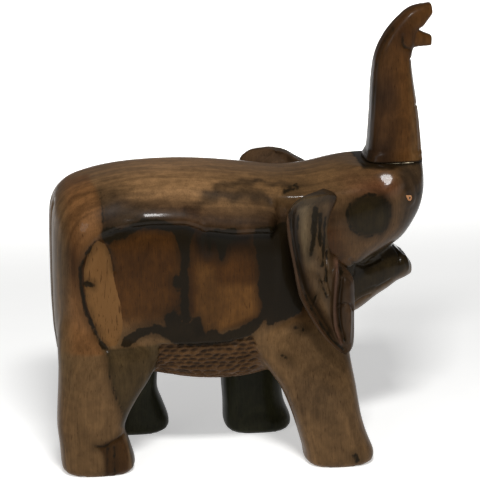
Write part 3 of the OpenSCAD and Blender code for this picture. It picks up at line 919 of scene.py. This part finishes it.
# %% Outlines on the side, as x and z
HIP_PATCH = [
    (-172, 262), (-140, 262), (-129, 253), (-126, 240), (-126, 228), (-131, 215), (-140, 204),
    (-147, 190), (-147, 170), (-142, 150), (-134, 128), (-127, 112), (-172, 112),
]
SAP_PATCH = [
    (-131, 215), (-124.5, 211), (-120.5, 201), (-118.5, 187), (-116.5, 171), (-112.7, 159),
    (-111, 140), (-111.7, 128), (-116.5, 119), (-122, 118), (-127, 121), (-131, 128), (-136, 140),
    (-140, 151), (-142.5, 163), (-143.5, 178), (-143.5, 190), (-140, 204), (-135, 212),
]
DARK_SHAPES = [
    [
        (-127, 226), (-119, 226), (-109, 224), (-100, 230), (-91, 234), (-76, 232), (-64, 226),
        (-50, 222), (-48, 219), (-64, 218), (-80, 221), (-91, 223), (-99, 220), (-107, 215),
        (-115, 213), (-122, 209), (-128, 214),
    ],
    [
        (-67, 221), (-46, 221), (-52, 206), (-53.5, 187), (-53.5, 151), (-51, 136), (-60, 136),
        (-62, 151), (-61, 171), (-61, 200), (-63, 210),
    ],
    [(-68, 179), (-64, 182), (-61, 177), (-60, 168), (-64, 167), (-67.5, 172)],
    [(-43.5, 222), (-33, 222), (-33, 210), (-34.5, 199), (-37, 195), (-39.5, 200), (-42, 210)],
    [(-33, 222), (-11, 222), (-12, 212), (-20, 204), (-24, 191), (-27, 191), (-29, 202), (-32, 210)],
    [
        (-114, 118), (-111, 126), (-99, 133), (-84, 138), (-74, 135), (-75, 144), (-71, 149),
        (-65, 152), (-63, 145), (-57, 136), (-50, 141), (-45, 144), (-43, 142), (-41, 132), (-38, 125),
        (-32, 132), (-25, 126), (-10, 131), (5, 139), (13, 148), (15, 138), (2, 123), (-14, 116),
        (-35, 113), (-52, 113), (-66, 116), (-74, 125), (-86, 129), (-97, 124), (-105, 116),
    ],
    [
        (3, 222), (48, 222), (50, 160), (46, 140), (30, 134), (16, 130), (10, 146), (7, 165), (8, 190),
        (2, 206),
    ],
]
HIND_DARK = [
    (-126, 116), (-123, 91), (-117.5, 71), (-112.7, 59), (-111.7, 51), (-114.6, 45), (-109, 38),
    (-104, 0), (-40, 0), (-60, 60), (-72, 118), (-105, 117),
]
CHEEK_DISC = [
    (86, 230), (87, 220), (91, 212), (97, 208), (104, 205), (111, 207), (117, 206), (123, 212),
    (126, 222), (125, 232), (118, 240), (107, 243), (95, 240), (89, 236),
]
# Besides streaks, knots, the bark and the disc's outline in the wood, these lines darken the knife cuts of
# the foot, toes, jaw and chin, the nick in the fore foot and the mouth slot: that is painted shade in the
# cuts.
DARK_LINES = [   # each with its half width
    (BARK_GAP, 1.6), ([(-131, 215), (-124, 211), (-119.5, 200), (-117.5, 187)], 0.5),
    ([(-142, 177), (-138, 176)], 2.6), (FOOT_CUT, 0.8), (TOE_BACK, 0.6), (TOE_FRONT, 0.5),
    ([(4, 210), (8, 190), (9, 160)], 1.0),
    ([(-127, 252), (-126, 238), (-127, 226)], 1.0), ([(28, 104), (33, 101), (35, 98)], 1.4),
    ([(-126, 116), (-123, 91), (-117.5, 71), (-112.7, 59), (-111.7, 51)], 0.4),
    ([(41, 128), (46, 126)], 1.6), (JAW_CUT, 0.3), (CHIN_CUT, 0.3), ([(91, 12), (94, 6)], 2.2),
    (MOUTH_SLOT, 1.3), ([(40, 249), (50, 252), (60, 256)], 1.6), ([(33, 246), (44, 248)], 1.6),
    (CHEEK_DISC + CHEEK_DISC[:1], 1.0),
]
CLOUD_LINES = [   # on the back, as x and y
    ([(-54, -63), (-44, -58), (-34, -52), (-26, -44), (-10, -40), (6, -36)], 3.2),
    ([(-30, -50), (-14, -50), (2, -46), (16, -50)], 3.6), ([(8, -32), (24, -36), (38, -34)], 1.8),
    ([(-30, 44), (-12, 38), (8, 42)], 2.6),
]
FLANK_LEFT = [(-118, 222), (-64, 222), (-62, 140), (-112, 130)]
FLANK_RIGHT = [(-52, 220), (4, 218), (8, 180), (10, 135), (-48, 124)]
AMBER_LOW = [(-48, 196), (-30, 186), (-28, 172), (6, 170), (9, 140), (-36, 122), (-49, 138)]
FACE_CRACK, FACE_CRACK_HALF = [(154, 236), (164, 240.5)], 0.8
FOOT_RED = [(-136, 30), (-122, 35), (-112, 36), (-107, 24), (-107, 0), (-129, 0), (-130, 20)]

# %% Paint the body
p, n = points_of(body), normals_of(body)
x, y, z = p.T
away, hand = abs(y), np.sign(y)
# the left side of the log has the same kinds of marks, a little shifted
log_x = np.where((hand > 0) & (x < 60), x * 0.95 + 9, x)
log_z = np.where((hand > 0) & (x < 60), z + 4, z)
upper = rise(0.25, 0.75, n[:, 2]) * rise(150, 200, z)
on_side = rise(20, 40, away)

# flank
tone = np.tile(linear(LEG_TAN), (len(p), 1))
wash(tone, rise(120, 150, z), FLANK_RED)
wash(tone, rise(-4, 4, inside(log_x, log_z, FLANK_RIGHT)), FLANK_RED)
wash(tone, 0.85 * rise(-3, 6, inside(log_x, log_z, AMBER_LOW)), FLANK_AMBER)
wash(tone, 0.25 * rise(-2, 10, inside(log_x, log_z, FLANK_LEFT)) * fall(135, 190, log_z), FLANK_AMBER)
edge_z = np.interp(x, *BACK_EDGE)
# painted shade on the upper flank, under the back's overhanging edge
wash(tone, 0.95 * rise(-2, 8, inside(log_x, log_z, FLANK_RIGHT)) * rise(184, 212, log_z), FLANK_PAINTED_SHADE)
# back, with clouds over it and a darker fall to its edge
over = rise(-3, 5, z - edge_z) * rise(190, 215, z)
wash(tone, over, BACK_BROWN)
wash(tone, over * near(x, -60, 70) * upper, BACK_TAN)
for line, half in CLOUD_LINES:
    cloud = half - from_line(x + 2.2 * np.sin(y * 0.5 + x * 0.3), y + 1.6 * np.sin(x * 0.37), line)
    wash(tone, 0.75 * rise(-3.5, 2.5, cloud) * rise(0.1, 0.3, n[:, 2]) * (z > 215), SMOKE)
wash(tone, 0.9 * over * near(x, -117, 14) * near(away, 57, 22), SMOKE)
drape = over * fall(edge_z + 10, edge_z + 26, z)
wash(tone, 0.8 * drape, DRAPE)
wash(tone, 0.85 * drape * near(x, -104, 26), SMOKE)
wash(tone, 0.3 * over * rise(-30, 10, x + 0.6 * (away - 40)) * near(away, 56, 12), SMOKE)
# hip and rump
wash(tone, rise(-1.2, 1.8, inside(log_x, log_z, HIP_PATCH)), HIP_BROWN)
wash(tone, 0.95 * near(log_x, -157, 13) * near(log_z, 195, 28) * on_side, HIP_RED)
wash(tone, 0.7 * fall(-164, -150, x) * rise(60, 110, z), RUMP_OLIVE)
# head and jaw
wash(tone, 0.75 * rise(70, 95, x) * rise(160, 190, z), CHEEK)
wash(tone, 0.8 * near(x, 116, 26) * rise(232, 246, z) * on_side, BROW_RED)
wash(tone, 0.6 * rise(84, 100, x) * rise(248, 258, z), BACK_BROWN)
wash(tone, 0.85 * rise(126, 142, x) * rise(196, 212, z), SMOKE)
wash(tone, 0.8 * rise(64, 84, x) * fall(178, 190, z - 0.35 * (x - 100)) * rise(120, 136, z), JAW_DARK)
jaw_foot = fall(0, 9, z - 132 - 0.45 * (x - 92)) * rise(88, 94, x) * (z > 120)
wash(tone, 0.7 * jaw_foot, LEG_TAN)
# legs and belly, with painted shade in the gouged hollows
wash(tone, 0.45 * near(x, 58, 30) * rise(26, 60, z) * fall(122, 134, z), SMOKE)
wash(tone, rise(-1, 1, inside(log_x, log_z, HIND_DARK)) * on_side, LEG_GREEN)
wash(tone, belly_band(x, z) * fall(112, 124, z), BELLY)
# painted shade in the gouge scoops, deepest at the middle of each
wash(tone, 0.75 * rise(0.5, 0.95, scooped) * (scooped > 0), BELLY_HOLLOW_SHADE)
# disc on the cheek, red foot, painted shade in the grooves beside the tail and on the inner faces of the
# legs, and the sawn seat
wash(tone, 0.9 * rise(-2, 2, inside(log_x, log_z, CHEEK_DISC)) * on_side, DISC)
wash(tone, 0.7 * near(x, 117, 8) * near(z, 234, 8) * on_side, INK)
wash(tone, 0.8 * rise(-1, 2, inside(x, z, FOOT_RED)) * on_side * (hand < 0), FLANK_RED)
# painted shade in the grooves cut beside the tail
tail_groove_shade = near(away, 9.5, 3) * fall(-158, -150, x) * rise(94, 104, z) * fall(228, 240, z)
wash(tone, 0.85 * tail_groove_shade, INK)
# painted shade on the inner faces of the legs under the belly and on the far legs' faces turned towards the
# middle
inner = fall(12, 24, away) * fall(84, 100, z)
far_leg_shade = (hand > 0) * fall(90, 110, z) * fall(0.0, 0.5, n[:, 1])
wash(tone, 0.9 * np.maximum(inner, far_leg_shade), PAINTED_LEG_SHADE)
wash(tone, 0.9 * rise(SEAT_Z - 2.4, SEAT_Z - 0.8, z) * (x > 104), INK)

dark = np.full(len(p), -10.0)
for outline in DARK_SHAPES:
    dark = np.maximum(dark, inside(log_x, log_z, outline) - (1 - on_side) * 10)
for line, half in DARK_LINES:
    dark = np.maximum(dark, half - from_line(log_x, log_z, line) - (1 - on_side) * 10)
dark = np.where((upper > 0.7) & (abs(x + 44) < 74), -10, dark)   # none on the top of the back
dark = np.minimum(dark, from_line(log_x, log_z, DRIP) - DRIP_HALF)
sap = inside(log_x, log_z, SAP_PATCH) - (1 - on_side) * 10
crack = FACE_CRACK_HALF - from_line(x, z, FACE_CRACK)
dark = np.maximum(dark, np.where((x > 140) & (y < 0), crack, -10))

# the varnish is worn on the legs, and thin at the rump and under the back's edge
shine = (0.25 + 0.75 * rise(100, 145, z)) * (1 - 0.5 * fall(-150, -126, x))
shine *= 1 - 0.6 * on_side * fall(edge_z - 8, edge_z, z) * fall(30, 60, x)
keep_paint(body, tone, shine, dark=dark, sap=sap)
print("painted the body: dark on", int((dark > 0).sum()), "points, sapwood on", int((sap > 0).sum()))

# %% Paint the ears
EAR_TONE = {-1: "#372616", 1: "#6c4f38"}
RIM_GROOVE_PAINTED_SHADE = "#1c140c"
HOLLOW = "#5a4630"
HOLLOW_PALE = "#6d5d45"
LOBE = "#3b2b1d"
EAR_TOP = "#302517"
RIM_TINT_AND_HIGHLIGHT = "#5d4330"
RIDGE_PAINTED_HIGHLIGHT = "#66483a"
# The wide lines high in the hollow are dark streaks in the wood; the lines along the checks, the groove
# inside the rim, the lobe's groove and the fold behind it are painted shade in those cuts.
EAR_DARK_LINES = [
    ([(56, 236), (55, 214), (52, 196)], 2.6), ([(61, 230), (60, 204)], 2.0),
    ([(66, 226), (64, 200), (62, 186)], 1.4), ([(58, 178), (62, 168), (66, 158)], 0.7),
    ([(50, 150), (57, 160)], 0.8), (RIM_LINE, 1.0), (LOBE_GROOVE, 0.9),
    ([(67, 196), (65, 182), (65, 172)], 0.9), ([(40, 232), (39, 214), (42, 196)], 1.0),
]
for hand, blade in ears.items():
    p, n = points_of(blade), normals_of(blade)
    x, y, z = p.T
    x = x + LEFT_SET_BACK * (hand > 0)
    outside = rise(-0.2, 0.3, hand * n[:, 1])
    tone = np.tile(linear(EAR_TONE[hand]), (len(p), 1))
    from_rim = from_line(x, z, RIM_LINE)
    hollow = rise(4, 12, from_rim) * fall(66, 72, x) * outside
    within_rim = x > np.interp(z, [113, 174, 236], [76, 41, 30])
    # painted shade in the groove just inside the rim
    wash(tone, 0.8 * near(from_rim, 3, 3) * within_rim, RIM_GROOVE_PAINTED_SHADE)
    wash(tone, 0.8 * hollow, HOLLOW)
    wash(tone, 0.75 * hollow * near(x, 45, 8) * rise(170, 205, z), HOLLOW_PALE)
    wash(tone, 0.8 * rise(66, 74, x) * fall(180, 195, z), LOBE)
    wash(tone, 0.7 * rise(236, 243, z), EAR_TOP)
    # the raised rim painted paler and reddish: its own tint together with a painted highlight
    rim = from_line(x, z, [(rx - 2.6, rz) for rx, rz in RIM_LINE])
    wash(tone, 0.7 * near(rim, 0, 1.3) * outside, RIM_TINT_AND_HIGHLIGHT)
    # a painted highlight along the lobe's ridge
    wash(tone, 0.6 * near(from_line(x, z, LOBE_RIDGE), 0, 1.4) * outside, RIDGE_PAINTED_HIGHLIGHT)
    dark = np.full(len(p), -10.0)
    for line, half in EAR_DARK_LINES:
        dark = np.maximum(dark, half - from_line(x, z, line))
    keep_paint(blade, tone, dark=np.where(outside > 0.5, dark, -10))

# %% Paint the trunk
TRUNK_GOLD = "#472d14"
TRUNK_REAR = "#3e2814"
TRUNK_SMOKE = "#2b1c10"
TRUNK_ROOT = "#281a0f"
TRUNK_CURL = "#3f2715"
TRUNK_FRONT = "#584026"
TRUNK_INK = "#1f160b"
p, n = points_of(trunk), normals_of(trunk)
x, y, z = p.T
middle = np.interp(z, [262, 300, 340, 362, 382, 396], [136, 137, 135, 136, 148, 160])
forward = x - middle
tone = np.tile(linear(TRUNK_GOLD), (len(p), 1))
wash(tone, fall(-10, 6, forward), TRUNK_REAR)
wash(tone, 0.85 * near(z, 322, 16) * fall(-8, 8, forward), TRUNK_SMOKE)
wash(tone, 0.9 * near(z, 270, 16) * fall(-14, 6, forward), TRUNK_ROOT)
wash(tone, 0.8 * near(x, 141, 9) * near(z, 374, 12), TRUNK_CURL)
wash(tone, 0.6 * rise(9, 15, forward) * fall(345, 365, z), TRUNK_FRONT)
wash(tone, 0.85 * fall(TRUNK_FOOT + 0.7, TRUNK_FOOT + 2, z), INK)
# painted shade in the crease along the rear flat and in the cut at the root of the lower finger
dark = np.full(len(p), -10.0)
for line, half in [(REAR_FLAT, 0.3), (FINGER_CUT, 0.8)]:
    dark = np.maximum(dark, half - from_line(x, z, line))
keep_paint(trunk, tone, dark=dark)
print("painted the trunk and", len(ears), "ears")

# %% [markdown]
# ## Materials
# The wood is a varnished hardwood: the colour comes from the painted figure with its painted shade and
# highlights, cut by grain that runs up the log, with a thin clear coat over it. The grain is worked out from
# Object coordinates, since the block's own place in the log is what decides it. The coat follows the shine
# kept in the paint's alpha, because the varnish is worn on the legs. A flat picture of wood would be
# simpler, but it would stretch on the sides.


# %% One node
def add(tree, kind, links=(), **settings):
    """Add a node, set it, and give its inputs a value or another node's output."""
    node = tree.nodes.new(kind)
    for key, value in settings.items():
        setattr(node, key, value)
    for key, value in dict(links).items():
        if isinstance(value, bpy.types.NodeSocket):
            tree.links.new(value, node.inputs[key])
        else:
            node.inputs[key].default_value = value
    return node


def new_material(name):
    material = bpy.data.materials.new(name)
    material.use_nodes = True
    tree = material.node_tree
    return material, tree, tree.nodes["Principled BSDF"]


def pattern(tree, size, detail=3.0, distortion=0.0):
    """Noise whose grains measure about size, x by y by z in mm."""
    place = add(tree, "ShaderNodeTexCoord").outputs["Object"]
    scaled = add(tree, "ShaderNodeMapping", {"Vector": place, "Scale": [1 / (s * MM) for s in size]})
    noise = add(tree, "ShaderNodeTexNoise", {
        "Vector": scaled.outputs[0], "Scale": 1.0, "Detail": detail, "Roughness": 0.55,
        "Distortion": distortion,
    })
    return noise.outputs["Fac"]


def level(tree, value, low, high, to_low=0.0, to_high=1.0):
    """Stretch a value between two limits, with soft ends."""
    return add(tree, "ShaderNodeMapRange", {
        "Value": value, "From Min": low, "From Max": high, "To Min": to_low, "To Max": to_high
    }, interpolation_type="SMOOTHSTEP").outputs[0]


def sum_of(tree, a, b, times=1.0):
    return add(tree, "ShaderNodeMath", {0: b, 1: times, 2: a}, operation="MULTIPLY_ADD").outputs[0]


def blended(tree, kind, amount, a, b):
    mix = add(tree, "ShaderNodeMix", {"Factor": amount}, data_type="RGBA", blend_type=kind)
    for socket, value in ((mix.inputs[6], a), (mix.inputs[7], b)):
        if isinstance(value, bpy.types.NodeSocket):
            tree.links.new(value, socket)
        else:
            socket.default_value = value
    return mix.outputs[2]


def rgba(code):
    return (*linear(code), 1)


# %% Varnished hardwood
FIGURE_SIZE = (48, 6, 120)   # clouds of colour: broad on the flank, thin lines over the back
FIBRE_SIZE = (1.1, 1.1, 26)
PORE_SIZE = (1.0, 1.0, 7)
FRAY_SIZE = (6, 6, 9)
CHECK_SIZE = (1.6, 1.6, 16)
PORE_TINT = "#8a7a68"
CHECK_TINT = "#6b5238"
SAP_DEEP, SAP_LIGHT = "#5e4022", "#684929"


def hardwood(name, ink, gloss):
    material, tree, shader = new_material(name)
    paint = add(tree, "ShaderNodeAttribute", attribute_name="tone")
    tone, shine = paint.outputs["Color"], paint.outputs["Alpha"]
    dark = add(tree, "ShaderNodeAttribute", attribute_name="dark").outputs["Fac"]
    sap = add(tree, "ShaderNodeAttribute", attribute_name="sap").outputs["Fac"]
    clouds = pattern(tree, FIGURE_SIZE, 4, 0.8)
    fibre = pattern(tree, FIBRE_SIZE, 3)
    pores = pattern(tree, PORE_SIZE, 2)
    fray = pattern(tree, FRAY_SIZE, 5, 0.3)

    # broad and fine grain shade the painted tone
    wood = blended(tree, "MULTIPLY", 1.0, tone, level(tree, clouds, 0.3, 0.7, 0.74, 1.22))
    wood = blended(tree, "MULTIPLY", 1.0, wood, level(tree, fibre, 0.25, 0.75, 0.86, 1.12))
    wood = blended(tree, "MULTIPLY", level(tree, pores, 0.62, 0.72, 0.0, 0.55), wood, rgba(PORE_TINT))
    wood = blended(tree, "MULTIPLY", 1.0, wood, level(tree, fray, 0.32, 0.68, 0.84, 1.12))

    # pale sapwood, open-grained, with short dark checks
    checks = pattern(tree, CHECK_SIZE, 4, 0.6)
    pale = blended(tree, "MIX", level(tree, clouds, 0.35, 0.65), rgba(SAP_DEEP), rgba(SAP_LIGHT))
    pale = blended(tree, "MULTIPLY", level(tree, checks, 0.58, 0.66, 0.0, 0.6), pale, rgba(CHECK_TINT))
    in_sap = level(tree, sum_of(tree, sap, sum_of(tree, -0.5, fray), 0.3), -0.03, 0.04)
    wood = blended(tree, "MIX", in_sap, wood, pale)

    # the ink-dark heartwood and the painted shade in the cuts, crisp at its edge with a smoky halo outside
    # it
    frayed = sum_of(tree, dark, sum_of(tree, -0.5, fray), 0.8)
    halo = level(tree, frayed, -0.7, 0.0, 0.0, 0.4)
    wood = blended(tree, "MIX", halo, wood, rgba(ink))
    wood = blended(tree, "MIX", level(tree, frayed, -0.06, 0.12, 0.0, 0.9), wood, rgba(ink))
    tree.links.new(wood, shader.inputs["Base Color"])

    # satin wood under a thin gloss coat; the sapwood drank the varnish and stayed dull
    satin = level(tree, fibre, 0.3, 0.7, 0.30, 0.42)
    tree.links.new(sum_of(tree, satin, in_sap, 0.25), shader.inputs["Roughness"])
    undrunk = sum_of(tree, 1.0, in_sap, -0.8)
    varnish = add(tree, "ShaderNodeMath", {0: shine, 1: undrunk}, operation="MULTIPLY")
    tree.links.new(sum_of(tree, 0.0, varnish.outputs[0], gloss), shader.inputs["Coat Weight"])
    shader.inputs["Coat Roughness"].default_value = 0.09
    shader.inputs["Coat IOR"].default_value = 1.36
    shader.inputs["Specular IOR Level"].default_value = 0.05
    relief = sum_of(tree, fibre, pores, 0.6)
    relief = sum_of(tree, relief, checks, 0.8)
    bump = add(tree, "ShaderNodeBump", {"Height": relief, "Strength": 0.12, "Distance": 0.4 * MM})
    tree.links.new(bump.outputs[0], shader.inputs["Normal"])
    return material


body_wood = hardwood("varnished_streaked_hardwood", INK, 0.26)
ear_wood = hardwood("varnished_ear_hardwood", INK, 0.15)
trunk_wood = hardwood("varnished_golden_hardwood", TRUNK_INK, 0.1)


# %% Small woods and glue
def plain_wood(name, light, deep, size, roughness, coat):
    material, tree, shader = new_material(name)
    grain = pattern(tree, size, 4, 0.4)
    colour = blended(tree, "MIX", level(tree, grain, 0.3, 0.7), rgba(deep), rgba(light))
    tree.links.new(colour, shader.inputs["Base Color"])
    satin = level(tree, grain, 0.3, 0.7, roughness + 0.06, roughness - 0.06)
    tree.links.new(satin, shader.inputs["Roughness"])
    shader.inputs["Coat Weight"].default_value = coat
    shader.inputs["Specular IOR Level"].default_value = 0.3
    bump = add(tree, "ShaderNodeBump", {"Height": grain, "Strength": 0.15, "Distance": 0.2 * MM})
    tree.links.new(bump.outputs[0], shader.inputs["Normal"])
    return material


inlay_wood = plain_wood("tan_inlay_wood", "#c48d5a", "#9a6238", (0.5, 0.5, 4), 0.35, 0.3)
peg_wood = plain_wood("black_peg_wood", "#1a120c", "#0c0806", (0.4, 0.4, 3), 0.3, 0.3)
dowel_wood = plain_wood("pale_dowel_wood", "#c9a878", "#a98452", (0.8, 0.8, 20), 0.6, 0.0)
glue = plain_wood("dried_wood_glue", "#d8cdb2", "#a8977a", (1.2, 1.2, 1.2), 0.18, 0.6)

# %% Dress every piece
new_pieces = [(body, body_wood), *((blade, ear_wood) for blade in ears.values())]
new_pieces += [(trunk, trunk_wood), (beads, glue)]
for piece, material in new_pieces:
    piece.data.materials.clear()
    piece.data.materials.append(material)
    pick(piece)
    bpy.ops.object.shade_smooth()
kept_nodes = {"trunk_dowel": dowel_wood, "trunk_glue_line": glue}
for hand_name in ("right", "left"):
    kept_nodes[hand_name + "_eye_inlay"] = inlay_wood
    kept_nodes[hand_name + "_eye_peg"] = peg_wood
for name, material in kept_nodes.items():
    for slot in bpy.data.objects[name].material_slots:
        slot.material = material
print("dressed", len(new_pieces), "new pieces and", len(kept_nodes), "packed ones")

# %% [markdown]
# ## Floor and light
# A pale floor fills the view behind the figurine. A small lamp, high on the side of the camera, makes the
# glints on the varnish. A broader one, further off and to the left of the view, opens up the flank. A
# narrow lamp behind points straight down and only whitens the floor, since a wide one would lay a grey
# veil on the varnish. The floor also glows a little, as a table lit from underneath, and the sky is weak.

# %% Floor, lamps and sky
FLOOR_SIZE = 14
FLOOR_GLOW = 0.45
FLOOR_TINTS = "#f4f4f2", "#f8f8f6"
SKY_STRENGTH = 0.14
# name, place, what it points at, its two sizes in metres, watts, spread in degrees
LAMPS = [
    ("overhead", (-0.08, -0.95, 1.35), (0, 0, 0.2), (0.32, 0.2), 17, 180),
    ("front_left", (-1.6, -2.2, 1.5), (0, 0, 0.2), (0.8, 0.7), 10.5, 180),
    ("backdrop", (0, 1.85, 2.6), (0, 1.85, 0), (3.6, 2.0), 28, 20),
]
deselect()
bpy.ops.mesh.primitive_grid_add(x_subdivisions=4, y_subdivisions=4, size=FLOOR_SIZE)
floor = bpy.context.object
floor.name = "pale_floor"
floor_paint, tree, shader = new_material("pale_floor_paint")
speck = pattern(tree, (30, 30, 30), 2)
tree.links.new(blended(tree, "MIX", speck, *map(rgba, FLOOR_TINTS)), shader.inputs["Base Color"])
shader.inputs["Roughness"].default_value = 0.9
shader.inputs["Specular IOR Level"].default_value = 0.1
shader.inputs["Emission Color"].default_value = (1, 1, 1, 1)
shader.inputs["Emission Strength"].default_value = FLOOR_GLOW
floor.data.materials.append(floor_paint)
floor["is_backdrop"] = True


def lamp(name, place, target, size, power, spread):
    data = bpy.data.lights.new(name, "AREA")
    data.shape = "RECTANGLE"
    data.size, data.size_y = size
    data.energy = power
    data.spread = math.radians(spread)
    holder = bpy.data.objects.new(name, data)
    bpy.context.scene.collection.objects.link(holder)
    holder.location = place
    holder.rotation_euler = (Vector(target) - Vector(place)).to_track_quat("-Z", "Y").to_euler()


for row in LAMPS:
    lamp(*row)
sky = bpy.data.worlds.new("sky")
bpy.context.scene.world = sky
sky.use_nodes = True
sky.node_tree.nodes["Background"].inputs["Color"].default_value = (1, 1, 1, 1)
sky.node_tree.nodes["Background"].inputs["Strength"].default_value = SKY_STRENGTH

# %% [markdown]
# ## Fasten
# Nothing on a carving moves, so every piece rides on the one body. Each new piece stands for a node of
# the imported model or sits beside one, and the nodes it stands for are hidden.

# %% Ride and hide the replaced nodes
for piece in (body, *ears.values()):
    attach(piece, "root")
    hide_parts("carved_body")
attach(trunk, "root")
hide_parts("trunk")
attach(beads, "root")

low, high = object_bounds()
print("visual box in mm:", [round(v / MM, 1) for v in high - low])
